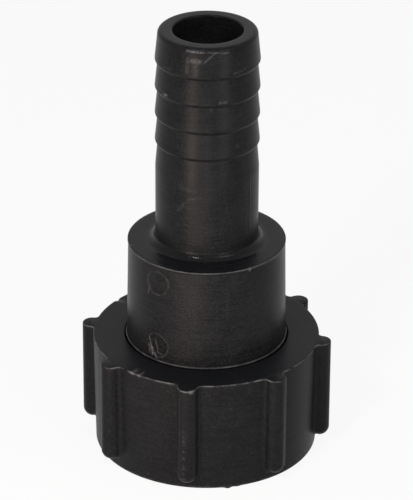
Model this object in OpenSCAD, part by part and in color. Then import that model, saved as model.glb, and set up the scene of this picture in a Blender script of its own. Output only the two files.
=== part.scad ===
// Drum thread adapter in black polypropylene: a ribbed union nut with a coarse
// internal drum thread turns freely on a barbed hose tail, over a flat gasket.
// The axis is Z, and the open end of the nut stands on Z = 0. All sizes in mm.

/* [Drum thread] */
// Radius over the roots of the internal thread
thread_r = 30.15; // [27:0.05:33]
// Depth of the thread
thread_depth = 2.45; // [1.8:0.05:3]
// Pitch of the thread
thread_pitch = 6; // [5:0.5:7]
// Width of the flat that is left on the crests between two turns
crest_flat = 1.7; // [0.8:0.1:2.2]
// Angle of the flank that carries the load, from the radial plane, in degrees
load_angle = 7; // [3:1:15]
// Angle of the flank behind it, from the radial plane, in degrees
back_angle = 40; // [30:1:45]
// Width of the lead-in chamfer at the open end, past the thread's roots
lead_in = 1; // [0.4:0.1:1.8]

/* [Union nut] */
// Wall of the nut outside the thread's roots, at its open end
nut_wall = 4.28; // [3:0.02:7]
// Draft of the nut's wall, which narrows towards its open end, in degrees
nut_draft = 0.9; // [0:0.1:2]
// Height of the nut
nut_h = 36.3; // [30:0.1:60]
// Thickness of the plate at the top of the nut
plate_t = 4.5; // [3:0.1:7]
// Rounding of the nut's turned-out edges
nut_round = 0.4; // [0.1:0.1:0.8]

/* [Grip ribs] */
// Number of grip ribs round the nut
rib_count = 8; // [4:1:12]
// Width of a rib, which is also the diameter of its round nose
rib_w = 6.1; // [4:0.1:8]
// How far a rib stands out past the nut's top edge
rib_out = 4; // [2.4:0.1:6]
// Height of the lowest point of a rib above the open end
rib_foot = 3.2; // [1:0.1:8]
// Radius of the fillets where a rib meets the nut
rib_fillet = 1.3; // [0.3:0.1:1.6]

/* [Collar] */
// Draft of the collar, which widens downwards, in degrees
collar_draft = 1; // [0:0.1:1.4]
// Height of the collar above the nut's top face
collar_rise = 32.5; // [15:0.5:60]
// Wall of the collar and of the step above it
collar_wall = 5.1; // [3:0.1:7]
// How far the thin lip at the collar's top edge stands out
lip_out = 0.2; // [0.1:0.05:0.5]
// Height of that lip
lip_h = 0.7; // [0.3:0.1:1.5]

/* [Flange and gasket] */
// Thickness of the flange that the nut bears on
flange_t = 4; // [2.5:0.1:6]
// How far the flange stands out past the foot of the collar
flange_w = 2.7; // [1.5:0.05:4]
// Radial gap that lets the flange pass through the nut's thread
pass_gap = 0.3; // [0.1:0.05:0.6]
// Running gap along the axis, above the flange and below the gasket
end_gap = 0.3; // [0.1:0.05:0.6]
// Running gap between the collar and the hole in the nut's plate
hole_gap = 0.45; // [0.2:0.05:0.8]
// Thickness of the gasket
gasket_t = 3; // [2:0.5:5]
// How far the gasket reaches past the thread, so that the thread holds it in
gasket_over = 1.1; // [0.5:0.1:1.8]
// How far the gasket's hole stands back from the waterway inside the collar
gasket_back = 1; // [0.2:0.1:3]

/* [Hose tail] */
// Radius of the smooth part of the tail
tail_r = 15.7; // [13:0.05:18]
// Length of the tail above the collar
tail_l = 69.1; // [60:0.1:110]
// Wall of the tail's smooth part
tail_wall = 5.12; // [2.5:0.02:6]
// Fillet between the tail and the collar's top face
root_fillet = 2.6; // [1:0.1:5]
// Number of barbs
barb_count = 4; // [2:1:5]
// Distance between two barbs
barb_pitch = 8.75; // [6:0.05:10]
// Distance from the end of the tail to the crest of the first barb
first_barb = 9; // [6:0.1:12]
// How far a crest stands out past the smooth part
barb_out = 0.13; // [0:0.01:1]
// Depth of the step behind a crest
barb_depth = 0.77; // [0.3:0.01:1.8]
// Length of that step along the axis
barb_step = 1.3; // [0.5:0.1:2.5]
// Radius of the rounding on a crest
crest_round = 0.7; // [0.2:0.1:1.2]
// How much smaller the tail is at its end than its smooth part
end_in = 0.65; // [0:0.05:1.5]
// Rounding of the end's outer edge
end_round = 1.2; // [0.3:0.1:2]
// Rounding of the bore's mouth
mouth_round = 0.5; // [0.2:0.1:1]

/* [Collar marks] */
// Radius of the two round moulding marks on the collar
mark_r = 3.75; // [2:0.05:5]
// Depth of a mark's floor
mark_depth = 0.3; // [0.1:0.05:0.8]
// Width of the raised rim round a mark
mark_rim_w = 0.4; // [0.2:0.05:1]
// Height of that rim
mark_rim_h = 0.12; // [0.05:0.01:0.3]
// Height of the lower mark's centre above the nut's top face
mark_rise = 5.2; // [5:0.1:8]
// Distance of the upper mark's centre below the collar's top face
mark_drop = 5.9; // [5:0.1:10]
// Direction of the marks, turned from the first rib, in degrees
mark_turn = -29; // [-180:1:180]

/* [Hidden] */

black = "#2b2c2e";
rubber_black = "#1c1c1d";

round_fn = 128;     // facets of the long turned surfaces, true circles in the solid
arc_steps = 6;      // straight steps along a rounded corner
helix_steps = 40;   // rings in one turn of the thread
fillet_bite = 0.05; // how far a rib's fillet reaches into what it joins
relief_out = 0.1;   // how far the relief above the thread is cut past its roots
cut = 1;            // how far a cutting shape runs past what it cuts

// Heights, from the plate down and then up the collar
plate_z = nut_h - plate_t;
flange_top = plate_z - end_gap;
flange_z = flange_top - flange_t;
gasket_z = flange_z - gasket_t;
thread_top = gasket_z - end_gap;
collar_z = nut_h + collar_rise;
tail_z = collar_z + tail_l;
chamber_z = collar_z - collar_wall;

// Radii that follow from what passes through or over what
nut_foot_r = thread_r + nut_wall;
nut_top_r = nut_foot_r + nut_h * tan(nut_draft);
thread_bore_r = thread_r - thread_depth;
relief_r = thread_r + relief_out;
flange_r = thread_bore_r - pass_gap;
gasket_r = thread_bore_r + gasket_over;
collar_foot_r = flange_r - flange_w;
collar_top_r = collar_foot_r - (collar_z - flange_top) * tan(collar_draft);
collar_nut_r = collar_top_r + collar_rise * tan(collar_draft);
hole_r = collar_nut_r + hole_gap;
chamber_r = collar_top_r - collar_wall;
gasket_hole_r = chamber_r + gasket_back;
bore_r = tail_r - tail_wall;
end_r = tail_r - end_in;
crest_r = tail_r + barb_out;
trough_r = crest_r - barb_depth;
rib_nose_r = rib_w / 2;
rib_nose_y = nut_top_r + rib_out - rib_nose_r;

// Points of an arc about a centre c, from angle a to angle b
function arc(c, r, a, b, n = arc_steps) =
    [for (i = [0:n]) c + r * [cos(a + (b - a) * i / n), sin(a + (b - a) * i / n)]];

// Height of the crest of barb number i, counted from the end of the tail
function crest_z(i) = tail_z - first_barb - i * barb_pitch;

// One barb seen from its crest down to the next one: the rounded crest, then the step
function barb(i) =
    let (z = crest_z(i), back = atan2(barb_depth, barb_step), c = [crest_r - crest_round, z])
    concat(arc(c, crest_round, 4, -back), [[trough_r, z - barb_step]]);

module union_nut() color(black) {
    difference() {
        union() {
            nut_body();
            for (i = [0:rib_count - 1])
                rotate(i * 360 / rib_count) rib();
        }
        thread_groove();
    }
}

// Turned form of the nut, with its plate, relief and smooth bore
module nut_body() {
    lead_r = thread_r + lead_in;
    rotate_extrude($fn = round_fn) polygon(concat(
        arc([nut_foot_r - nut_round, nut_round], nut_round, -90, 0),
        arc([nut_top_r - nut_round, nut_h - nut_round], nut_round, 0, 90),
        arc([hole_r + nut_round, nut_h - nut_round], nut_round, 90, 180),
        [[hole_r, plate_z],
         [relief_r, plate_z],
         [relief_r, thread_top],
         [thread_bore_r, thread_top],
         [thread_bore_r, lead_r - thread_bore_r],
         [lead_r, 0]]));
}

// One grip rib on the -Y side: a round nose, a web and the fillets at its root
module rib() {
    nose_z = rib_foot + rib_nose_r;
    rib_h = nut_h - nose_z;
    web_y = nut_foot_r - cut;
    translate([0, -rib_nose_y, nose_z]) {
        cylinder(h = rib_h, r = rib_nose_r, $fn = 64);
        sphere(r = rib_nose_r, $fn = 64);
    }
    translate([0, -web_y, nose_z]) rotate([90, 0, 0])
        linear_extrude(height = rib_nose_y - web_y) rib_outline(rib_h);
    for (side = [0, 1])
        mirror([side, 0, 0]) rib_root(nose_z, rib_h);
}

// Outline of a rib seen from outside, straight above and round below
module rib_outline(h) {
    circle(r = rib_nose_r, $fn = 64);
    translate([-rib_nose_r, 0]) square([rib_w, h]);
}

// Fillet on one flank of a rib, leaning with the nut's wall
module rib_root(z, h) {
    foot_y = nut_foot_r + z * tan(nut_draft);
    centre_x = rib_nose_r + rib_fillet - fillet_bite;
    wall_y = sqrt(pow(foot_y + rib_fillet - fillet_bite, 2) - centre_x * centre_x);
    translate([0, -wall_y, z]) rotate([nut_draft, 0, 0])
        linear_extrude(height = h) difference() {
            translate([rib_nose_r - cut, 0]) square([rib_fillet + cut - fillet_bite, rib_fillet + cut]);
            translate([centre_x, 0]) circle(r = rib_fillet, $fn = 48);
        }
}

// Groove of the buttress thread, swept along a right-hand helix
module thread_groove() {
    root_flat = thread_pitch - crest_flat - thread_depth * (tan(load_angle) + tan(back_angle));
    in_r = thread_bore_r - cut;
    run_out = root_flat / 2 + (thread_depth + cut) * tan(back_angle);
    rings = ceil((thread_top + 2 * run_out) / thread_pitch * helix_steps);
    section = [
        [in_r, -run_out],
        [thread_r, -root_flat / 2],
        [thread_r, root_flat / 2],
        [in_r, root_flat / 2 + (thread_depth + cut) * tan(load_angle)]];
    points = [for (i = [0:rings], p = section)
        let (a = i * 360 / helix_steps)
        [p[0] * cos(a), p[0] * sin(a), p[1] - run_out + i * thread_pitch / helix_steps]];
    walls = [for (i = [0:rings - 1], j = [0:3])
        let (a = 4 * i + j, b = 4 * i + (j + 1) % 4)
        each [[a, b, b + 4], [a, b + 4, a + 4]]];
    last = 4 * rings;
    ends = [[3, 2, 1], [3, 1, 0], [last, last + 1, last + 2], [last, last + 2, last + 3]];
    polyhedron(points, concat(walls, ends), convexity = 8);
}

module hose_tail() color(black) {
    difference() {
        union() {
            tail_body();
            mark_rims();
        }
        mark_floors();
    }
}

// Turned form of the tail: flange, collar, barbed tail and the waterway inside
module tail_body() {
    barbs = [for (i = [barb_count - 1:-1:0]) each reverse(barb(i))];
    rotate_extrude($fn = round_fn) polygon(concat(
        [[chamber_r, flange_z],
         [flange_r, flange_z],
         [flange_r, flange_top],
         [collar_foot_r, flange_top],
         [collar_top_r, collar_z - lip_h],
         [collar_top_r + lip_out, collar_z - lip_h],
         [collar_top_r + lip_out, collar_z]],
        arc([tail_r + root_fillet, collar_z + root_fillet], root_fillet, 270, 180),
        [[tail_r, crest_z(barb_count)]],
        barbs,
        arc([end_r - end_round, tail_z - end_round], end_round, 0, 90),
        arc([bore_r + mouth_round, tail_z - mouth_round], mouth_round, 90, 180),
        arc([bore_r + mouth_round, chamber_z + mouth_round], mouth_round, 180, 270),
        arc([chamber_r - root_fillet, chamber_z - root_fillet], root_fillet, 90, 0)));
}

function reverse(list) = [for (i = [len(list) - 1:-1:0]) list[i]];

// Places its children at both marks, facing out along -Y before the turn
module at_marks() {
    rotate(mark_turn)
        for (z = [nut_h + mark_rise, collar_z - mark_drop])
            translate([0, 0, z]) rotate([90, 0, 0]) children();
}

// A ring of collar wall, from below its surface to out past it, for trimming the marks
module collar_skin(low, high) {
    translate([0, 0, nut_h]) difference() {
        cylinder(h = collar_rise, r1 = collar_nut_r + high, r2 = collar_top_r + high, $fn = round_fn);
        cylinder(h = collar_rise, r1 = collar_nut_r + low, r2 = collar_top_r + low, $fn = round_fn);
    }
}

// The sunken floors of the marks, which follow the collar's curve
module mark_floors() {
    intersection() {
        collar_skin(-mark_depth, cut);
        at_marks() cylinder(h = collar_foot_r + 2 * cut, r = mark_r, $fn = 64);
    }
}

// The raised rims of the marks
module mark_rims() {
    intersection() {
        collar_skin(-mark_depth, mark_rim_h);
        at_marks() cylinder(h = collar_foot_r + 2 * cut, r = mark_r + mark_rim_w, $fn = 64);
    }
}

module flat_gasket() color(rubber_black) {
    translate([0, 0, gasket_z]) difference() {
        cylinder(h = gasket_t, r = gasket_r, $fn = round_fn);
        translate([0, 0, -cut]) cylinder(h = gasket_t + 2 * cut, r = gasket_hole_r, $fn = round_fn);
    }
}

union_nut();
hose_tail();
flat_gasket();
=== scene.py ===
"""Drum thread adapter in moulded black polypropylene: a ribbed union nut that turns on
a barbed hose tail, over a flat rubber gasket. The frame is in metres: Z is the common axis,
the open end of the nut stands on Z = 0, and -Y points through the nut's front rib. The
sizes below are in mm, which lay() turns to metres. Angles round the axis start at -Y and
grow towards +X."""

import math

import bmesh
import bpy
import numpy as np
from mathutils import Matrix, Vector, noise


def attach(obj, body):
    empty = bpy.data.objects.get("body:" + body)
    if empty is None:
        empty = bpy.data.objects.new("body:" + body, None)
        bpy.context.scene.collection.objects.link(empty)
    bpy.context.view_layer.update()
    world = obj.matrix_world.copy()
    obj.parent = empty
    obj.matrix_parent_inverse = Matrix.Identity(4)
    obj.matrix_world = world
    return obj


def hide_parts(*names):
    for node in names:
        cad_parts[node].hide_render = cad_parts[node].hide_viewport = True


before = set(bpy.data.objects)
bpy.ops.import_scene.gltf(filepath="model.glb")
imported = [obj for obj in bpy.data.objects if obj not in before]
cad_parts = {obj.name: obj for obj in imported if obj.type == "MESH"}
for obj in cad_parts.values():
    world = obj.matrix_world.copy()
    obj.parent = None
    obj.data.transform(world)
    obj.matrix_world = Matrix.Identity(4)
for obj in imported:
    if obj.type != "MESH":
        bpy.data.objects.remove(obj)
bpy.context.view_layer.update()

MM = 0.001
JOIN_DISTANCE = 2e-6        # metres

# Union nut: the thread's roots, crests and pitch, the flat on a crest, and both flanks
THREAD_R, THREAD_BORE_R, THREAD_PITCH = 30.15, 27.70, 6.0
CREST_FLAT, LOAD_ANGLE, BACK_ANGLE = 1.7, 7.0, 40.0
NUT_FOOT_R, NUT_H, NUT_DRAFT = 34.43, 36.3, math.tan(math.radians(0.9))
NUT_ROUND, FOOT_ROUND, LEAD_R, HOLE_R, HOLE_ROUND = 0.4, 0.55, 31.15, 25.067, 0.6
PLATE_Z, RELIEF_R, THREAD_TOP = 31.8, 30.25, 24.2
RIBS, RIB_HALF, RIB_FILLET = 8, 3.05, 1.3
RIB_NOSE_Y, RIB_NOSE_Z, WEB_LIFT = 35.95, 6.25, 0.3

# Hose tail: flange, collar with its lip, waterway, tail and barbs from the top one down
FLANGE_R, FLANGE_Z, FLANGE_TOP, FLANGE_ROUND = 27.4, 27.5, 31.5, 0.3
COLLAR_FOOT_R, COLLAR_TOP_R, COLLAR_Z = 24.7, 24.05, 68.8
COLLAR_FOOT_FILLET = 0.4
LIP_OUT, LIP_H, LIP_ROUND = 0.2, 0.7, 0.2
CHAMBER_R, CHAMBER_Z, BORE_R = 18.95, 63.7, 10.58
TAIL_R, TAIL_Z, END_R = 15.7, 137.9, 15.05
ROOT_FILLET, END_ROUND, MOUTH_ROUND = 2.6, 1.2, 0.5
CREST_R, TROUGH_R, CREST_ROUND, BARB_STEP = 15.83, 15.06, 0.7, 1.3
CREST_Z = [128.9, 120.15, 111.4, 102.65]
SMOOTH_Z = 93.9             # where the smooth length gives way to the lowest barb

GASKET_R, GASKET_HOLE_R, GASKET_Z, GASKET_T, GASKET_ROUND = 28.8, 19.95, 24.5, 3.0, 0.25

# The two round moulding marks on the collar, and the mould's parting lines on the tail
MARK_TURN, MARK_R, MARK_Z = math.radians(-29), 3.75, (41.5, 62.9)
MARK_DEPTH, MARK_RIM_H = 0.42, 0.18
PARTING, PARTING_OUT = (64.0, -116.0), 0.07
# the thin bead round the collar just above the nut: outward, and up from the nut's top
FOOT_BEAD = [(0.0, 0.02), (0.17, 0.07), (0.27, 0.18), (0.3, 0.32),
             (0.26, 0.46), (0.15, 0.57), (0.01, 0.64)]

CRISP_ANGLE, GASKET_CRISP_ANGLE = 32, 40    # edges sharper than this stay crisp
QUARTER_TURN = np.radians([0, 22.5, 45, 67.5, 90])


def lay(name, points, faces):
    """A mesh object from points in mm, with doubled points joined and faces turned out."""
    mesh = bpy.data.meshes.new(name)
    mesh.from_pydata((np.asarray(points, float) * MM).tolist(), [], faces)
    obj = bpy.data.objects.new(name, mesh)
    bpy.context.scene.collection.objects.link(obj)
    work = bmesh.new()
    work.from_mesh(mesh)
    bmesh.ops.remove_doubles(work, verts=work.verts, dist=JOIN_DISTANCE)
    loose = [v for v in work.verts if not v.link_faces]
    bmesh.ops.delete(work, geom=loose, context="VERTS")
    bmesh.ops.recalc_face_normals(work, faces=work.faces)
    work.to_mesh(mesh)
    work.free()
    return obj


def loops_to_faces(rows, cols, closed_rows=False, first=0):
    """Quads between neighbouring closed loops of the same number of points."""
    faces = []
    for i in range(rows if closed_rows else rows - 1):
        below = (i + 1) % rows
        for j in range(cols):
            k = (j + 1) % cols
            faces.append([first + i * cols + j, first + i * cols + k,
                          first + below * cols + k, first + below * cols + j])
    return faces


def cut_away(obj, cutter):
    """Takes the cutter's volume out of obj, and removes the cutter."""
    tool = obj.modifiers.new("cut", "BOOLEAN")
    tool.operation, tool.solver, tool.object = "DIFFERENCE", "EXACT", cutter
    graph = bpy.context.evaluated_depsgraph_get()
    cut_mesh = bpy.data.meshes.new_from_object(obj.evaluated_get(graph))
    obj.modifiers.clear()
    obj.data = cut_mesh
    bpy.data.objects.remove(cutter)


def smooth_by_angle(obj, degrees):
    """Smooth shading, with edges sharper than the angle kept crisp."""
    work = bmesh.new()
    work.from_mesh(obj.data)
    limit = math.radians(degrees)
    for edge in work.edges:
        edge.smooth = len(edge.link_faces) == 2 and edge.calc_face_angle(0.0) < limit
    for face in work.faces:
        face.smooth = True
    work.to_mesh(obj.data)
    work.free()


def held(values):
    """The values, held between 0 and 1."""
    return np.clip(values, 0, 1)


def read_points(obj):
    """A piece's points in mm, their distance from the axis, and their angle round it in
    degrees."""
    flat = np.empty(len(obj.data.vertices) * 3)
    obj.data.vertices.foreach_get("co", flat)
    points = flat.reshape(-1, 3) / MM
    x, y = points[:, 0], points[:, 1]
    return points, np.hypot(x, y), np.degrees(np.arctan2(x, -y))


def write_points(obj, points, turn, outward, rubbed_and_highlit, polished):
    """Moves the points outward from the axis, and stores for each one, 0 to 1, how pale it is
    painted, partly as worn places and partly as painted highlights, and how polished it is."""
    points[:, 0] += outward * np.sin(np.radians(turn))
    points[:, 1] -= outward * np.cos(np.radians(turn))
    obj.data.vertices.foreach_set("co", (points * MM).ravel())
    for name, values in (("rubbed_and_highlit", rubbed_and_highlit), ("polished", polished)):
        layer = obj.data.attributes.new(name, "FLOAT", "POINT")
        layer.data.foreach_set("value", held(values))
    obj.data.update()


def scratch(turn, z, r, path, half):
    """1 along a line between two places, each given by angle and height, and 0 past half mm."""
    from_turn, from_z, to_turn, to_z = path
    across, up = r * np.radians(turn - from_turn), z - from_z
    run, rise = r * math.radians(to_turn - from_turn), to_z - from_z
    along = held((across * run + up * rise) / (run * run + rise * rise + 1e-9))
    return held(1 - np.hypot(across - along * run, up - along * rise) / half)


def grit(points, size):
    """A repeatable unevenness at points in mm, about -1 to 1, with lumps of that size."""
    return np.array([noise.noise(Vector(q)) for q in (points / size).tolist()])


def ripple(a, seed, waves=(3, 5, 8, 13, 21, 34)):
    """A repeatable uneven wave round a circle, about -1 to 1."""
    total = np.zeros_like(a, dtype=float)
    for n, w in enumerate(waves):
        total += np.sin(w * a + seed * (1.7 + n) + n * n) / (1 + 0.6 * n)
    return total / 2.2


# Union nut. Half a rib's section has points at these angles round its nose, then down its
# flank at these shares of the way to the fillet, then round the fillet
NOSE_STEPS = [0, 12, 24, 36, 46, 50, 52, 54, 60, 70, 80, 90]
FLANK_SHARES = (0.35, 0.7, 1.0)
FILLET_STEPS = 6
HALF_POINTS = len(NOSE_STEPS) + len(FLANK_SHARES) + FILLET_STEPS
# one rib carries the mould's flash: at which point round its nose, and how far out
FLASH_RIB, FLASH_STEP, FLASH_OUT = 1, 6, 0.25
FLASH_ANGLE = math.radians(NOSE_STEPS[FLASH_STEP])
FLASH_TOP, FLASH_TILT = 0.3, 1.45       # it ends this far below the top, and at this tilt
BODY_STEPS = 36                         # from rib to rib
WALL_ROWS, NOSE_END_ROWS = 60, 12       # down the wall, and round the ribs' lower ends
SECTOR = 2 * math.pi / RIBS
SECTOR_POINTS = 2 * HALF_POINTS - 1 + BODY_STEPS - 1


def rib_half_section(z, tilt, inset):
    """Points of half a rib from its tip to the nut's wall, as (sideways, outward).
    tilt turns the section down round the rib's lower end; inset shrinks it."""
    half, fillet = RIB_HALF - inset, RIB_FILLET + inset
    nose = [(half * math.sin(math.radians(a)), RIB_NOSE_Y + half * math.cos(math.radians(a)))
            for a in NOSE_STEPS]
    # the fillet's ball touches the wall where it is pushed out furthest
    reach = np.linspace(-fillet, 0.6 * fillet, 161)
    side = half + fillet + reach
    wall_r = NUT_FOOT_R - inset + (z - side * math.sin(tilt)) * NUT_DRAFT
    wall_y = np.sqrt(wall_r ** 2 - (side * math.cos(tilt)) ** 2)
    lift = wall_y + np.sqrt(np.maximum(fillet ** 2 - reach ** 2, 0))
    best = int(np.argmax(lift))
    centre = (half + fillet, float(lift[best]))
    foot = (float(side[best]), float(wall_y[best]))
    flank = [(half, RIB_NOSE_Y + (centre[1] - RIB_NOSE_Y) * s) for s in FLANK_SHARES]
    end = math.atan2(foot[1] - centre[1], foot[0] - centre[0])
    curve = [(centre[0] + fillet * math.cos(a), centre[1] + fillet * math.sin(a))
             for a in np.linspace(-math.pi, end, FILLET_STEPS + 1)[1:]]
    curve[-1] = foot
    return np.array(nose + flank + curve)


def nut_loop(z, tilt=0.0, inset=0.0, flash=True):
    """One closed outline round the nut, over all its ribs."""
    half = rib_half_section(z, tilt, inset)
    side, out = half[:, 0] * math.cos(tilt), half[:, 1]
    # round a rib's lower end the web behind the nose ends a little higher than the nose
    web = held((RIB_NOSE_Y - half[:, 1]) / (RIB_NOSE_Y - NUT_FOOT_R - 0.4))
    height = z + (WEB_LIFT * web - half[:, 0]) * math.sin(tilt)
    foot_turn = math.atan2(side[-1], out[-1])
    foot_r = math.hypot(side[-1], out[-1])
    points = []
    for rib in range(RIBS):
        turn = rib * SECTOR
        here = half.copy()
        if flash and rib == FLASH_RIB and tilt < FLASH_TILT:
            outward = np.array([math.sin(FLASH_ANGLE), math.cos(FLASH_ANGLE)])
            here[FLASH_STEP] += FLASH_OUT * outward
        s, o = here[:, 0] * math.cos(tilt), here[:, 1]
        points += [(o[k] * math.sin(turn) + s[k] * math.cos(turn),
                    -o[k] * math.cos(turn) + s[k] * math.sin(turn), height[k])
                   for k in range(HALF_POINTS)]
        body = np.linspace(turn + foot_turn, turn + SECTOR - foot_turn, BODY_STEPS + 1)
        for a in body[1:-1]:
            points.append((foot_r * math.sin(a), -foot_r * math.cos(a), height[-1]))
        turn += SECTOR
        points += [(out[k] * math.sin(turn) - side[k] * math.cos(turn),
                    -out[k] * math.cos(turn) - side[k] * math.sin(turn), height[k])
                   for k in range(HALF_POINTS - 1, 0, -1)]
    return points


def ring(r, z):
    """A plain circle whose points line up with the nut's walls between the ribs."""
    a = np.arange(RIBS * BODY_STEPS) * 2 * math.pi / (RIBS * BODY_STEPS)
    return [(r * math.sin(t), -r * math.cos(t), z) for t in a]


def nut_inside():
    """Radius and height up the nut's inside, from the foot's face to its plate's hole."""
    return [
        # foot, and a lead-in at 45 degrees to the thread's crests
        (32.6, 0), (LEAD_R, 0), (LEAD_R - 0.15, 0.1),
        (THREAD_BORE_R + 0.2, LEAD_R - THREAD_BORE_R - 0.2),
        (THREAD_BORE_R, LEAD_R - THREAD_BORE_R + 0.15),
        # top of the thread, relief, plate
        (THREAD_BORE_R, THREAD_TOP - 0.15), (THREAD_BORE_R + 0.15, THREAD_TOP),
        (RELIEF_R, THREAD_TOP), (RELIEF_R, PLATE_Z - 0.5), (RELIEF_R - 0.5, PLATE_Z),
        (HOLE_R + 0.25, PLATE_Z), (HOLE_R, PLATE_Z + 0.25),
    ]


def nut_body():
    """The nut's outer form with its ribs, then its plain inside, before the thread."""
    points = []
    rounding = [(NUT_ROUND * (1 - math.sin(a)), NUT_H - NUT_ROUND * (1 - math.cos(a)))
                for a in QUARTER_TURN]
    wall = np.linspace(NUT_H - NUT_ROUND, RIB_NOSE_Z, WALL_ROWS)[1:]
    nose_ends = np.radians(np.linspace(0, 90, NOSE_END_ROWS + 1)[1:])
    loops = [nut_loop(z, inset=i, flash=z < NUT_H - FLASH_TOP) for i, z in rounding]
    loops += [nut_loop(z) for z in wall]
    loops += [nut_loop(RIB_NOSE_Z, tilt=t) for t in nose_ends]
    for loop in loops:
        points += loop
    cols = RIBS * SECTOR_POINTS
    faces = loops_to_faces(len(loops), cols)

    # the last outline is taken up by plain circles, from the foot to the plate and back
    first = len(points)
    low = loops[-1][HALF_POINTS][2]
    foot = [(NUT_FOOT_R + z * NUT_DRAFT, z) for z in np.linspace(low, FOOT_ROUND, 4)]
    foot += [(NUT_FOOT_R - FOOT_ROUND * (1 - math.cos(a)), FOOT_ROUND * (1 - math.sin(a)))
             for a in QUARTER_TURN[1:]]
    hole = [(HOLE_R + HOLE_ROUND * (1 - math.cos(a)), NUT_H - HOLE_ROUND * (1 - math.sin(a)))
            for a in QUARTER_TURN]
    top = [(r, NUT_H) for r in (28.5, 31.5, 34.0)]
    circles = foot + nut_inside() + hole + top
    count = RIBS * BODY_STEPS
    for r, z in circles:
        points += ring(r, z)
    faces += loops_to_faces(len(circles), count, first=first)

    # top face: the last circle to the nut's walls, then one face over each rib
    last = first + (len(circles) - 1) * count
    for rib in range(RIBS):
        base = rib * SECTOR_POINTS
        outer = [base + HALF_POINTS - 1 + k for k in range(BODY_STEPS + 1)]
        inner = [last + (rib * BODY_STEPS + k) % count for k in range(BODY_STEPS + 1)]
        for k in range(BODY_STEPS):
            faces.append([outer[k], outer[k + 1], inner[k + 1], inner[k]])
        before = (base - HALF_POINTS + 1) % cols
        over = [(before + k) % cols for k in range(2 * HALF_POINTS - 1)]
        faces.append(over + [last + rib * BODY_STEPS])
    return lay("union_nut_moulding", points, faces)


def thread_groove():
    """The buttress groove of the drum thread, swept up a right-hand helix."""
    depth = THREAD_R - THREAD_BORE_R
    tan_load, tan_back = math.tan(math.radians(LOAD_ANGLE)), math.tan(math.radians(BACK_ANGLE))
    flat = THREAD_PITCH - CREST_FLAT - depth * (tan_load + tan_back)
    past = 1                # how far the cutter reaches inside the crests
    back = flat / 2 + (depth + past) * tan_back
    corner, nip = 0.25, 0.07
    section = [(THREAD_BORE_R - past, -back),
               (THREAD_R - corner, -flat / 2 - corner * tan_back),
               (THREAD_R - nip, -flat / 2 + nip), (THREAD_R, -flat / 2 + corner),
               (THREAD_R, flat / 2 - corner), (THREAD_R - nip, flat / 2 - nip),
               (THREAD_R - corner, flat / 2 + corner * tan_load),
               (THREAD_BORE_R - past, flat / 2 + (depth + past) * tan_load)]
    steps = 120             # to a turn
    count = math.ceil((THREAD_TOP + 2 * back) / THREAD_PITCH * steps)
    points = []
    for i in range(count + 1):
        a = 2 * math.pi * i / steps
        rise = THREAD_PITCH * i / steps - back
        points += [(r * math.cos(a), r * math.sin(a), z + rise) for r, z in section]
    cols = len(section)
    faces = loops_to_faces(count + 1, cols)
    faces += [list(range(cols)), list(range(count * cols, (count + 1) * cols))]
    return lay("thread_groove", points, faces)


# Wear of the nut. Dents in its top edge: angle, depth, and half width in degrees
NUT_DENTS = [(-31.0, 0.45, 1.5), (-117.0, 0.5, 2.0), (-26.5, 0.2, 0.8)]
# what the gate left at the foot: angle, how far it stands out, and spread in degrees
GATE_STUBS = [(20.5, 0.85, 1.6), (25.5, 0.35, 1.2)]
# on the front rib, by the angle round its nose: a scored groove, and a column of specks
GROOVE_ANGLE, GROOVE_DEPTH = -60, 0.12
SPECKS_ANGLE, SPECKS_SPREAD, SPECKS_TOP = -12, 14, 26
RIB_CHIP_X, RIB_CHIP_R = 1.6, 0.9       # a bright chip in its top edge


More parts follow.
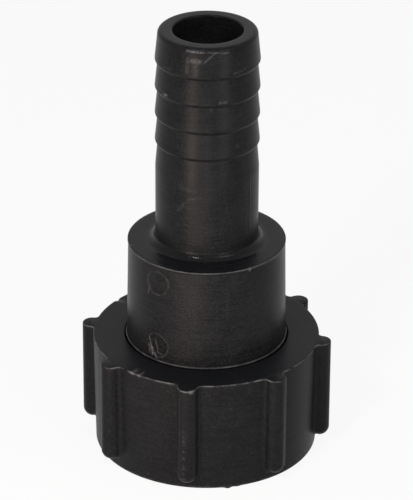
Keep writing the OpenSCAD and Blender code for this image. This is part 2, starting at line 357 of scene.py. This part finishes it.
def wear_and_highlight_the_nut(obj):
    """Worn arrises, dents in the top edge, what the gate left at the foot, the flash, and the
    scored front rib. The foot's rounding and the flash are also painted pale as highlights."""
    points, r, turn = read_points(obj)
    z = points[:, 2]
    coarse, fine = grit(points, 2.3), grit(points, 0.6)
    outward = np.zeros(len(z))
    outside = r > NUT_FOOT_R - 1.2
    edge = held((z - NUT_H + 0.42) / 0.2) * held((NUT_H - 0.02 - z) / 0.05)
    rubbed_and_highlit = np.where(outside, edge * (0.5 + 0.9 * coarse + 0.4 * fine), 0)
    # painted highlight: the rounded foot is paled all round
    rubbed_and_highlit += np.where(outside & (z < 0.7), 0.12 + 0.3 * fine, 0)
    for at, depth, width in NUT_DENTS:
        near = held(1 - np.abs(turn - at) / width) * held((z - NUT_H + 0.9) / 0.5) * outside
        outward -= depth * near
        points[:, 2] -= 0.6 * depth * near
        rubbed_and_highlit += 0.9 * near
    foot = held((1.2 - z) / 0.7) * outside
    gate = sum(out * np.exp(-((turn - at) / spread) ** 2) for at, out, spread in GATE_STUBS)
    outward += foot * gate

    rib_x, rib_y = points[:, 0], -points[:, 1] - RIB_NOSE_Y
    nose = np.degrees(np.arctan2(rib_x, rib_y))
    front_rib = (np.abs(turn) < 7) & (rib_y > -0.5)
    outward -= np.where(front_rib & (np.abs(nose - GROOVE_ANGLE) < 1), GROOVE_DEPTH, 0)
    column = held(1 - np.abs(nose - SPECKS_ANGLE) / SPECKS_SPREAD) * held((SPECKS_TOP - z) / 6)
    rubbed_and_highlit += np.where(front_rib, column * held(0.6 * fine), 0)
    chip = held(1 - np.hypot(rib_x - RIB_CHIP_X, z - NUT_H + 0.3) / RIB_CHIP_R)
    rubbed_and_highlit += np.where(front_rib, chip * 0.9, 0)

    rib_turn, tip = FLASH_RIB * SECTOR, RIB_HALF + FLASH_OUT
    side, out = tip * math.sin(FLASH_ANGLE), RIB_NOSE_Y + tip * math.cos(FLASH_ANGLE)
    flash_x = out * math.sin(rib_turn) + side * math.cos(rib_turn)
    flash_y = -out * math.cos(rib_turn) + side * math.sin(rib_turn)
    # painted highlight: the flash is paled along the rib's edge
    on_flash = np.hypot(points[:, 0] - flash_x, points[:, 1] - flash_y) < 0.1
    rubbed_and_highlit += np.where(on_flash, 0.8, 0)
    rubbed_and_highlit += np.where(outside, held(fine - 0.5) * 0.35, 0)
    write_points(obj, points, turn, outward, rubbed_and_highlit, np.zeros(len(z)))


union_nut = nut_body()
cut_away(union_nut, thread_groove())
wear_and_highlight_the_nut(union_nut)
smooth_by_angle(union_nut, CRISP_ANGLE)


def arc(centre, r, start, end, steps):
    """Points of an arc about a centre, from one angle to another in degrees."""
    return [(centre[0] + r * math.cos(a), centre[1] + r * math.sin(a))
            for a in np.radians(np.linspace(start, end, steps + 1))]


def straight(start, end, shares):
    """Points at these shares of the way from start to end."""
    return [(start[0] + (end[0] - start[0]) * s, start[1] + (end[1] - start[1]) * s)
            for s in shares]


def collar_wall(z):
    """Radius of the drafted collar at a height."""
    slope = (COLLAR_FOOT_R - COLLAR_TOP_R) / (COLLAR_Z - FLANGE_TOP)
    return COLLAR_FOOT_R - (z - FLANGE_TOP) * slope


def flange_and_collar():
    """Outline from the flange's underside to the collar's lip, as (radius, height)."""
    line = [(CHAMBER_R + 0.2, FLANGE_Z), (22.5, FLANGE_Z), (FLANGE_R - FLANGE_ROUND, FLANGE_Z)]
    line += arc((FLANGE_R - FLANGE_ROUND, FLANGE_Z + FLANGE_ROUND), FLANGE_ROUND, -90, 0, 3)[1:]
    line += arc((FLANGE_R - FLANGE_ROUND, FLANGE_TOP - FLANGE_ROUND), FLANGE_ROUND, 0, 90, 3)
    line += arc((COLLAR_FOOT_R + COLLAR_FOOT_FILLET, FLANGE_TOP + COLLAR_FOOT_FILLET),
                COLLAR_FOOT_FILLET, 270, 180, 3)
    line += [(collar_wall(z), z) for z in np.linspace(FLANGE_TOP + 0.8, NUT_H - 0.1, 6)]
    line += [(collar_wall(NUT_H) + out, NUT_H + up) for out, up in FOOT_BEAD]
    # rows lie close together over the two marks
    low_mark, high_mark = MARK_Z
    heights = list(np.linspace(low_mark - 4.4, low_mark + 4.8, 47))
    heights += list(np.linspace(low_mark + 5.4, high_mark - 5.4, 14))
    heights += list(np.linspace(high_mark - 4.8, high_mark + 4.8, 49))
    line += [(collar_wall(z), z) for z in heights if z < COLLAR_Z - LIP_H - 0.15]
    lip = collar_wall(COLLAR_Z - LIP_H)
    line += [(lip, COLLAR_Z - LIP_H - 0.1), (lip + 0.06, COLLAR_Z - LIP_H),
             (lip + LIP_OUT - 0.03, COLLAR_Z - LIP_H + 0.1),
             (COLLAR_TOP_R + LIP_OUT, COLLAR_Z - 0.45)]
    return line + arc((COLLAR_TOP_R + LIP_OUT - LIP_ROUND, COLLAR_Z - LIP_ROUND),
                      LIP_ROUND, 0, 90, 4)


def tail_and_barbs():
    """Outline from the collar's top face to the tail's rounded end, as (radius, height)."""
    line = [(r, COLLAR_Z) for r in (22.8, 21.6, 20.4, 19.2)]
    line += arc((TAIL_R + ROOT_FILLET, COLLAR_Z + ROOT_FILLET), ROOT_FILLET, 270, 180, 12)
    line += [(TAIL_R, z) for z in np.linspace(COLLAR_Z + ROOT_FILLET + 0.6, SMOOTH_Z, 38)]
    lean = math.degrees(math.atan2(CREST_R - TROUGH_R, BARB_STEP))
    below = (TAIL_R, SMOOTH_Z)
    for z in reversed(CREST_Z):
        crest = arc((CREST_R - CREST_ROUND, z), CREST_ROUND, -lean, 4, 5)
        line += straight(below, (TROUGH_R, z - BARB_STEP), np.linspace(0, 1, 13)[1:])
        line += [(TROUGH_R + 0.04, z - BARB_STEP + 0.05)] + crest
        below = crest[-1]
    line += straight(below, (END_R, TAIL_Z - END_ROUND), np.linspace(0, 1, 22)[1:-1])
    return line + arc((END_R - END_ROUND, TAIL_Z - END_ROUND), END_ROUND, 0, 90, 8)


def waterway():
    """Outline from the tail's end face down the bore and the collar's wider chamber."""
    line = [(12.9, TAIL_Z), (12.0, TAIL_Z)]
    line += arc((BORE_R + MOUTH_ROUND, TAIL_Z - MOUTH_ROUND), MOUTH_ROUND, 90, 180, 6)
    line += [(BORE_R, z) for z in np.linspace(TAIL_Z - 2, CHAMBER_Z + 2, 12)]
    line += arc((BORE_R + MOUTH_ROUND, CHAMBER_Z + MOUTH_ROUND), MOUTH_ROUND, 180, 270, 4)
    line += arc((CHAMBER_R - ROOT_FILLET, CHAMBER_Z - ROOT_FILLET), ROOT_FILLET, 90, 0, 8)
    line += [(CHAMBER_R, z) for z in np.linspace(CHAMBER_Z - 5, FLANGE_Z + 2, 6)]
    return line + [(CHAMBER_R, FLANGE_Z + 0.2)]


def tail_turns():
    """Angles round the tail, close together where the round marks are, with a narrow step
    either side of each parting line."""
    near_marks = 12.6
    near = np.linspace(-near_marks, near_marks, 56)
    rest = np.linspace(near_marks, 360 - near_marks, 232)[1:-1]
    turns = np.concatenate([near, rest]) + math.degrees(MARK_TURN)
    for seam in PARTING:
        seam = seam + 360 if seam < turns[0] else seam
        turns = turns[np.abs(turns - seam) > 0.9]
        turns = np.concatenate([turns, [seam - 0.6, seam, seam + 0.6]])
    return np.radians(np.sort(turns))


def hose_tail_moulding():
    """The tail turned from its outline, with the marks sunk in and the parting lines raised."""
    profile = np.array(flange_and_collar() + tail_and_barbs() + waterway())
    turns = tail_turns()
    r = np.repeat(profile[:, 0][:, None], len(turns), 1)
    z = np.repeat(profile[:, 1][:, None], len(turns), 1)
    a = np.repeat(turns[None, :], len(profile), 0)
    on_collar = (r > COLLAR_TOP_R - 0.3) & (z > 36.5) & (z < COLLAR_Z - LIP_H - 0.05)
    for centre in MARK_Z:
        # a sunk disc with an uneven rim, both heavier towards one side
        side = (a - MARK_TURN) * COLLAR_TOP_R
        d = np.hypot(side, z - centre)
        lean = np.cos(np.arctan2(z - centre, side) + math.radians(50))
        edge = MARK_R - 0.1 + 0.12 * ripple(np.arctan2(z - centre, side), centre)
        floor = held((edge + 0.1 - d) / 0.6)
        rim = held(1 - np.abs(d - edge - 0.3) / 0.45)
        sunk = -MARK_DEPTH * (0.7 + 0.35 * lean) * floor * floor * (3 - 2 * floor)
        sunk += MARK_RIM_H * (0.5 + 0.5 * lean) * rim * rim * (3 - 2 * rim)
        r = r + np.where(on_collar, sunk, 0)
    lip = (r > COLLAR_TOP_R + 0.05) & (z > COLLAR_Z - LIP_H) & (z < COLLAR_Z + 0.01)
    r = r - np.where(lip, 0.05 * (1 + ripple(a, 2.0)) * 0.5, 0)
    smooth_length = (z > COLLAR_Z + 1) & (z < SMOOTH_Z) & (r > TAIL_R - 0.1)
    for seam in PARTING:
        off = np.abs((np.degrees(a) - seam + 180) % 360 - 180)
        r = r + np.where((off < 0.1) & smooth_length, PARTING_OUT, 0)
    points = np.stack([r * np.sin(a), -r * np.cos(a), z], -1).reshape(-1, 3)
    faces = loops_to_faces(len(profile), len(turns), closed_rows=True)
    return lay("hose_tail_moulding", points, faces)


# Rubbed and scored places on the tail and the collar: angle and height from, angle and
# height to, half width, how far they stand out, and how pale they are
TAIL_MARKS = [
    (-15, 136.9, 5, 136.75, 0.4, 0.02, 1.0), (9, 136.9, 33, 136.3, 0.3, 0.02, 0.5),
    (-9, 134.0, 0, 134.0, 1.0, 0.0, 0.55), (-14, 130.5, -14, 134.5, 0.8, 0.0, 0.3),
    (-4, 130.0, -4, 133.0, 1.2, 0.0, 0.25), (6, 133.8, 16, 136.4, 0.35, -0.06, 0.8),
    (-56, 121.4, -36, 120.4, 0.3, 0.05, 0.45), (-45, 120.9, -40, 120.6, 0.4, 0.08, 0.9),
    (39, 129.6, 54, 130.0, 0.35, 0.03, 0.35), (22, 120.8, 31, 120.9, 0.3, 0.03, 0.35),
    (43.5, 105.9, 46.0, 104.9, 0.35, 0.05, 0.5), (13, 118.4, 13.4, 118.6, 0.45, 0.0, 0.4),
    (-48, 129.9, -34, 129.5, 0.3, 0.02, 0.25), (-22, 92.3, -4, 91.6, 0.6, 0.0, 0.12),
    (-24, 84.6, -17, 87.2, 0.8, 0.0, 0.14), (-12, 88.9, 2, 89.6, 0.5, 0.0, 0.12),
]
COLLAR_MARKS = [
    (-67.5, 67.7, -67.5, 68.8, 0.55, 0.2, 1.0), (41.5, 67.9, 41.5, 68.9, 0.35, 0.15, 0.8),
    (-36.0, 43.6, -33.6, 39.0, 0.28, 0.1, 0.8), (-34.0, 40.6, -32.6, 38.0, 0.3, 0.12, 0.9),
    (-32.6, 38.9, -28.0, 37.3, 0.28, 0.1, 0.9), (-30.4, 43.8, -28.4, 39.4, 0.25, 0.08, 0.55),
    (-29.0, 39.2, -23.4, 38.6, 0.25, 0.1, 0.5), (-33.4, 39.5, -33.2, 39.9, 0.55, 0.15, 1.0),
    (-35.4, 39.4, -36.4, 41.2, 0.3, -0.08, 0.3), (-37.6, 58.4, -36.2, 60.4, 0.35, 0.08, 0.35),
    (17.0, 44.0, 17.4, 60.0, 0.3, 0.0, 0.03), (24.0, 52.0, 24.3, 64.0, 0.3, 0.0, 0.04),
]


def wear_and_highlight_the_tail(obj):
    """Pale arrises on the lip and the foot bead, partly worn and partly painted highlight, the
    scored places, the marks' pale outlines, fine specks, and the polish of the root fillet."""
    points, r, turn = read_points(obj)
    z = points[:, 2]
    coarse, fine = grit(points, 2.0), grit(points, 0.5)
    on_tail = (z > COLLAR_Z + 0.5) & (r > BORE_R + 2)
    on_collar = (z > NUT_H) & (z < COLLAR_Z + 0.1) & (r > COLLAR_TOP_R - 0.5)
    outward = np.zeros(len(z))
    # the lip's top edge and the foot bead are paled: partly worn, partly a painted highlight along
    # them
    on_lip = on_collar & (r > COLLAR_TOP_R + 0.02)
    rubbed_and_highlit = np.where(on_lip, held((z - COLLAR_Z + 0.3) / 0.2), 0)
    rubbed_and_highlit = rubbed_and_highlit * (0.6 + 0.5 * coarse + 0.3 * fine)
    bead = on_collar & (z < NUT_H + 0.6) & (r > COLLAR_FOOT_R + 0.04)
    rubbed_and_highlit += np.where(bead, 0.35 + 0.35 * coarse, 0)
    for table, here in ((TAIL_MARKS, on_tail), (COLLAR_MARKS, on_collar)):
        for *path, half, out, pale in table:
            touch = scratch(turn, z, r, path, half) * here
            outward += out * touch
            rubbed_and_highlit += pale * touch * np.clip(0.75 + 1.2 * fine, 0.2, 1.3)
    for centre in MARK_Z:
        far = np.hypot((np.radians(turn) - MARK_TURN) * COLLAR_TOP_R, z - centre)
        outline = held(1 - np.abs(far - MARK_R - 0.15) / 0.4) * on_collar
        rubbed_and_highlit += outline * held(0.1 + 0.25 * coarse)
    rubbed_and_highlit += np.where(on_tail | on_collar, held(fine - 0.5) * 0.2, 0)
    fillet = held((r - TAIL_R) / 0.3) * held((COLLAR_Z + ROOT_FILLET + 0.1 - z) / 0.4)
    near_root = (z > COLLAR_Z - 0.05) & (r < TAIL_R + ROOT_FILLET + 0.2)
    write_points(obj, points, turn, outward, rubbed_and_highlit, np.where(near_root, fillet, 0))


hose_tail = hose_tail_moulding()
wear_and_highlight_the_tail(hose_tail)
smooth_by_angle(hose_tail, CRISP_ANGLE)


def gasket_ring():
    """A flat ring with its four edges rounded."""
    corners = [(GASKET_R - GASKET_ROUND, GASKET_Z + GASKET_ROUND, -90, 0),
               (GASKET_R - GASKET_ROUND, GASKET_Z + GASKET_T - GASKET_ROUND, 0, 90),
               (GASKET_HOLE_R + GASKET_ROUND, GASKET_Z + GASKET_T - GASKET_ROUND, 90, 180),
               (GASKET_HOLE_R + GASKET_ROUND, GASKET_Z + GASKET_ROUND, 180, 270)]
    line = []
    for r, z, start, end in corners:
        line += arc((r, z), GASKET_ROUND, start, end, 3)
    turns = np.linspace(0, 2 * math.pi, 193)[:-1]
    points = [(r * math.sin(a), -r * math.cos(a), z) for r, z in line for a in turns]
    faces = loops_to_faces(len(line), len(turns), closed_rows=True)
    return lay("flat_gasket_ring", points, faces)


flat_gasket = gasket_ring()
smooth_by_angle(flat_gasket, GASKET_CRISP_ANGLE)


def linear(hex_colour):
    """Linear RGBA of an sRGB hex colour."""
    parts = [int(hex_colour[i:i + 2], 16) / 255 for i in (1, 3, 5)]
    return [c / 12.92 if c <= 0.04045 else ((c + 0.055) / 1.055) ** 2.4 for c in parts] + [1.0]


def add(tree, kind, settings=None, **links):
    """Adds a node, sets its properties and sockets, and links the named inputs.
    A link is (node, output). In an input's name underscores stand for spaces, and n with
    a number stands for the input of that number."""
    node = tree.nodes.new(kind)
    for key, value in (settings or {}).items():
        if isinstance(key, int) or key in node.inputs:
            node.inputs[key].default_value = value
        else:
            setattr(node, key, value)
    for key, (source, output) in links.items():
        numbered = key[0] == "n" and key[1:].isdigit()
        socket = int(key[1:]) if numbered else key.replace("_", " ")
        tree.links.new(source.outputs[output], node.inputs[socket])
    return node


def bare_material(name):
    """A new material without nodes, and its node tree."""
    made = bpy.data.materials.new(name)
    made.use_nodes = True
    made.node_tree.nodes.clear()
    return made, made.node_tree


# Patterns of the polypropylene, in mm: the turned lines, which are about 0.1 mm apart on
# the real part and are drawn coarser so that they show, and the slow clouding
LINES_MM, CLOUD_MM = 0.35, 7
# the first grey lightens faces that look up, partly as a dusting and partly as painted light from
# above; the second pales worn places and painted highlights
DUST_AND_TOP_LIGHT, PALE_WEAR_AND_HIGHLIGHT_GREY = "#1d1e21", "#5e5d5d"
POLISH = -0.25              # what polish adds to the roughness


def moulded_polypropylene(name, colour, cloudy, roughness, grain_mm, depth, lines, dust_and_top_light):
    """Black polypropylene, injected in a steel mould: a soft sheen, broken by a fine uneven
    grain and by the lines that the mould's turned cavity left. Arrises and scratches are
    paled grey as worn places, some edges also as painted highlights, the root fillet is polished,
    and faces that look up are lightened, partly as a dusting and partly as painted light from
    above."""
    made, tree = bare_material(name)
    place = add(tree, "ShaderNodeTexCoord")
    spread = add(tree, "ShaderNodeSeparateXYZ", Vector=(place, "Object"))
    # turned lines run round the part: the pattern changes along the height and the radius,
    # and hardly round the axis
    flat = add(tree, "ShaderNodeCombineXYZ", X=(spread, "X"), Y=(spread, "Y"))
    radius = add(tree, "ShaderNodeVectorMath", {"operation": "LENGTH"}, Vector=(flat, "Vector"))
    drift = add(tree, "ShaderNodeMath", {"operation": "MULTIPLY", 1: 0.04}, n0=(spread, "X"))
    lathe = add(tree, "ShaderNodeCombineXYZ",
                X=(radius, "Value"), Y=(drift, "Value"), Z=(spread, "Z"))
    turned = add(tree, "ShaderNodeTexNoise", {"Scale": 1 / (LINES_MM * MM), "Detail": 2.0},
                 Vector=(lathe, "Vector"))
    cloud = add(tree, "ShaderNodeTexNoise", {"Scale": 1 / (CLOUD_MM * MM), "Detail": 3.0},
                Vector=(place, "Object"))
    grain = add(tree, "ShaderNodeTexNoise",
                {"Scale": 1 / (grain_mm * MM), "Detail": 3.0, "Roughness": 0.6},
                Vector=(place, "Object"))

    # colour: mottled by all three patterns, then lightened on faces that look up, partly as a
    # dusting and partly as painted light from above, then paled on worn places and painted
    # highlights
    specks = add(tree, "ShaderNodeMath", {"operation": "MULTIPLY_ADD", 1: 1.6},
                 n0=(grain, "Fac"), n2=(turned, "Fac"))
    mottle = add(tree, "ShaderNodeMath", {"operation": "MULTIPLY_ADD", 1: 0.6},
                 n0=(cloud, "Fac"), n2=(specks, "Value"))
    tint = add(tree, "ShaderNodeMapRange", {"From Min": 1.25, "From Max": 1.95},
               Value=(mottle, "Value"))
    paint = add(tree, "ShaderNodeMix", {"data_type": "RGBA", 6: linear(colour), 7: linear(cloudy)},
                Factor=(tint, "Result"))
    facing = add(tree, "ShaderNodeNewGeometry")
    upward = add(tree, "ShaderNodeSeparateXYZ", Vector=(facing, "Normal"))
    top_dust_and_light_share = add(tree, "ShaderNodeMapRange", {"From Min": 0.8, "From Max": 1.0, "To Max": dust_and_top_light},
                Value=(upward, "Z"))
    top_dusted_and_lit = add(tree, "ShaderNodeMix", {"data_type": "RGBA", 7: linear(DUST_AND_TOP_LIGHT)},
                 Factor=(top_dust_and_light_share, "Result"), n6=(paint, "Result"))
    # the stored paleness: worn places, and painted highlights on the lip, the foot bead, the nut's
    # foot and the flash
    wear_and_highlight = add(tree, "ShaderNodeAttribute", {"attribute_name": "rubbed_and_highlit"})
    rubbed_and_highlit = add(tree, "ShaderNodeMix", {"data_type": "RGBA", 7: linear(PALE_WEAR_AND_HIGHLIGHT_GREY)},
                 Factor=(wear_and_highlight, "Fac"), n6=(top_dusted_and_lit, "Result"))

    # sheen: the grain makes it uneven, polish makes it sharper
    satin = add(tree, "ShaderNodeMapRange",
                {"From Min": 0.3, "From Max": 0.7,
                 "To Min": roughness - 0.06, "To Max": roughness + 0.06}, Value=(grain, "Fac"))
    polish = add(tree, "ShaderNodeAttribute", {"attribute_name": "polished"})
    gloss = add(tree, "ShaderNodeMath", {"operation": "MULTIPLY_ADD", 1: POLISH},
                n0=(polish, "Fac"), n2=(satin, "Result"))
    fine = add(tree, "ShaderNodeBump", {"Strength": 1.0, "Distance": depth * MM},
               Height=(grain, "Fac"))
    bump = add(tree, "ShaderNodeBump", {"Strength": 1.0, "Distance": lines * MM},
               Height=(turned, "Fac"), Normal=(fine, "Normal"))
    shader = add(tree, "ShaderNodeBsdfPrincipled", {"IOR": 1.49, "Specular IOR Level": 0.08},
                 Base_Color=(rubbed_and_highlit, "Result"), Roughness=(gloss, "Value"),
                 Normal=(bump, "Normal"))
    add(tree, "ShaderNodeOutputMaterial", Surface=(shader, "BSDF"))
    return made


def pressed_rubber():
    """Black rubber, pressed in a mould: matt, with a powdery bloom."""
    made, tree = bare_material("pressed_black_rubber")
    bloom_mm, bloom_depth = 3, 0.02
    place = add(tree, "ShaderNodeTexCoord")
    bloom = add(tree, "ShaderNodeTexNoise", {"Scale": 1 / (bloom_mm * MM), "Detail": 5.0},
                Vector=(place, "Object"))
    paint = add(tree, "ShaderNodeMix",
                {"data_type": "RGBA", 6: linear("#151516"), 7: linear("#232324")},
                Factor=(bloom, "Fac"))
    bump = add(tree, "ShaderNodeBump", {"Strength": 1.0, "Distance": bloom_depth * MM},
               Height=(bloom, "Fac"))
    shader = add(tree, "ShaderNodeBsdfPrincipled", {"IOR": 1.52, "Roughness": 0.75},
                 Base_Color=(paint, "Result"), Normal=(bump, "Normal"))
    add(tree, "ShaderNodeOutputMaterial", Surface=(shader, "BSDF"))
    return made


def dress(obj, material):
    """Gives a piece one material all over."""
    obj.data.materials.clear()
    obj.data.materials.append(material)
    for polygon in obj.data.polygons:
        polygon.material_index = 0


# The nut's walls are smoother than the tail's, which keep the turned lines
dress(union_nut, moulded_polypropylene("nut_polypropylene", "#0d0d0e", "#19191a",
                                       roughness=0.42, grain_mm=0.7, depth=0.025,
                                       lines=0.006, dust_and_top_light=0.3))
dress(hose_tail, moulded_polypropylene("tail_polypropylene", "#0c0c0d", "#1d1d1e",
                                       roughness=0.36, grain_mm=0.6, depth=0.05,
                                       lines=0.025, dust_and_top_light=0.25))
dress(flat_gasket, pressed_rubber())

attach(union_nut, "nut")
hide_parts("union_nut")
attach(hose_tail, "tail")
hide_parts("hose_tail")
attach(flat_gasket, "tail")
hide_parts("flat_gasket")


# Camera, floor and lights. The camera looks down at the part, a little to the right of
# its front rib; the lens is for a sensor 36 mm wide
CAMERA_TURN, CAMERA_LENS, SENSOR = math.radians(9), 239.2, 36.0
CAMERA_PLACE = (-0.00006, -0.9065, 0.5269)
CAMERA_DOWN, CAMERA_ROLL = math.radians(90 - 27.03), math.radians(0.308)

camera = bpy.data.objects.new("camera", bpy.data.cameras.new("camera"))
bpy.context.scene.collection.objects.link(camera)
camera.data.lens, camera.data.sensor_width = CAMERA_LENS, SENSOR
camera.matrix_world = (Matrix.Rotation(CAMERA_TURN, 4, "Z") @ Matrix.Translation(CAMERA_PLACE)
                       @ Matrix.Rotation(CAMERA_DOWN, 4, "X")
                       @ Matrix.Rotation(CAMERA_ROLL, 4, "Z"))
bpy.context.scene.camera = camera


def seen_rays(tree):
    """1 for rays from the camera and for mirror and glass rays, 0 for those that only light."""
    path = add(tree, "ShaderNodeLightPath")
    both = add(tree, "ShaderNodeMath", {"operation": "ADD"},
               n0=(path, "Is Camera Ray"), n1=(path, "Is Glossy Ray"))
    return add(tree, "ShaderNodeMath", {"operation": "ADD", "use_clamp": True},
               n0=(both, "Value"), n1=(path, "Is Transmission Ray"))


FLOOR_HALF = 2000           # mm
FLOOR_LIT = 0.9             # how much of the seen floor shines white, over its shadow


def studio_floor():
    """A wide sheet of matt white card, which keeps a soft shadow of the object."""
    made, tree = bare_material("white_card")
    matt = add(tree, "ShaderNodeBsdfDiffuse", {"Color": linear("#f1f1f0")})
    lit = add(tree, "ShaderNodeEmission", {"Color": linear("#ffffff"), "Strength": 1.0})
    share = add(tree, "ShaderNodeMath", {"operation": "MULTIPLY", 1: FLOOR_LIT},
                n0=(seen_rays(tree), "Value"))
    mixed = add(tree, "ShaderNodeMixShader",
                Fac=(share, "Value"), n1=(matt, "BSDF"), n2=(lit, "Emission"))
    add(tree, "ShaderNodeOutputMaterial", Surface=(mixed, "Shader"))
    corners = [(x * FLOOR_HALF, y * FLOOR_HALF, 0) for x, y in ((-1, -1), (1, -1), (1, 1), (-1, 1))]
    floor = lay("studio_floor", corners, [[0, 1, 2, 3]])
    dress(floor, made)


studio_floor()

LAMP_AIM = (0, 0, 0.07)     # all lamps face the part's middle


def softbox(name, azimuth, elevation, distance, width, height, power, colour):
    """A soft lamp that faces the object, placed round it by azimuth from the camera's side."""
    lamp = bpy.data.lights.new(name, "AREA")
    lamp.shape, lamp.size, lamp.size_y = "RECTANGLE", width, height
    lamp.energy, lamp.color = power, linear(colour)[:3]
    obj = bpy.data.objects.new(name, lamp)
    bpy.context.scene.collection.objects.link(obj)
    obj.visible_camera = False
    obj.matrix_world = (Matrix.Translation(LAMP_AIM)
                        @ Matrix.Rotation(CAMERA_TURN + math.radians(azimuth), 4, "Z")
                        @ Matrix.Rotation(math.radians(90 - elevation), 4, "X")
                        @ Matrix.Translation((0, 0, distance)))


# name, azimuth from the camera's side, elevation, distance, width, height, power, colour
LAMPS = [
    ("left_strip", -33, -4, 0.30, 0.035, 0.09, 0.20, "#ffeadc"),
    ("left_low_strip", -34, -11.5, 0.20, 0.03, 0.05, 0.11, "#ffeadc"),
    ("front_low_strip", -16, -23, 0.14, 0.03, 0.02, 0.020, "#ffeadc"),
    ("front_strip", -20, -5, 0.25, 0.03, 0.08, 0.040, "#ffeadc"),
    ("front_fill", 0, -11, 0.25, 0.06, 0.03, 0.10, "#fff8f2"),
    ("right_fill", 35, -5, 0.40, 0.10, 0.12, 0.35, "#ffffff"),
    ("left_window", -28, 40, 0.70, 0.10, 0.10, 1.9, "#f8fbff"),
    ("right_window", 42, 35, 0.80, 0.35, 0.20, 1.5, "#f8fbff"),
    ("overhead_softbox", 180, 75, 0.90, 0.80, 0.60, 0.6, "#e8eeff"),
]
for lamp_row in LAMPS:
    softbox(*lamp_row)

TENT_LIGHT = 0.3            # how strongly the white tent lights the part; it is seen at 1


def white_tent():
    """An even white surround, seen as white, that lights the part only weakly."""
    world = bpy.data.worlds.new("white_tent")
    bpy.context.scene.world = world
    world.use_nodes = True
    tree = world.node_tree
    tree.nodes.clear()
    level = add(tree, "ShaderNodeMapRange", {"To Min": TENT_LIGHT, "To Max": 1.0},
                Value=(seen_rays(tree), "Value"))
    tent = add(tree, "ShaderNodeBackground", {"Color": linear("#ffffff")},
               Strength=(level, "Result"))
    add(tree, "ShaderNodeOutputWorld", Surface=(tent, "Background"))


white_tent()

bpy.context.scene.view_settings.view_transform = "Standard"
